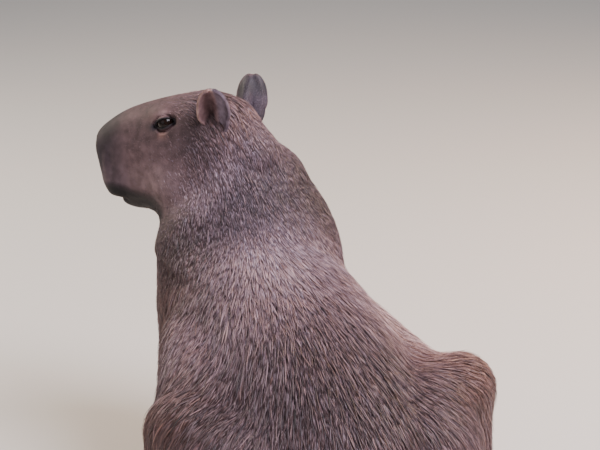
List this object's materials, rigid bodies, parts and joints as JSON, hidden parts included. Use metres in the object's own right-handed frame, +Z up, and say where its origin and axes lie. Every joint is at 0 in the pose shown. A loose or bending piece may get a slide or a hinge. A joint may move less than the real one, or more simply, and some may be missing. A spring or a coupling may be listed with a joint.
{
  "type": "sitting capybara",
  "caption": "Life-size capybara sitting on its haunches with straight forelegs, its head turned to its left, as a still model standing on small flats.",
  "frame": {"origin": "centre of the small flat under the seat, on the floor", "axes": "+Z up, -Y the way the trunk faces, +X the animal's left side"},
  "size_m": [0.5885, 0.7831, 0.6601],
  "materials": {
    "head_coat": "short grey-brown face hair",
    "body_coat": "coarse, slightly glossy mauve-brown coat",
    "leg_coat": "coarse brown coat",
    "bare_skin": "dark bare skin with horn nails",
    "ear_skin": "thin dark grey-brown skin",
    "eyeball": "wet, nearly black"
  },
  "bodies": {
    "root": {"head": "head_coat", "neck": "body_coat", "torso": "body_coat", "leg_front_left": "leg_coat", "leg_front_right": "leg_coat", "leg_hind_left": "leg_coat", "leg_hind_right": "leg_coat", "foot_front_left": "bare_skin", "foot_front_right": "bare_skin", "foot_hind_left": "bare_skin", "foot_hind_right": "bare_skin", "ear_left": "ear_skin", "ear_right": "ear_skin", "eye_left": "eyeball", "eye_right": "eyeball"}
  },
  "joints": []
}
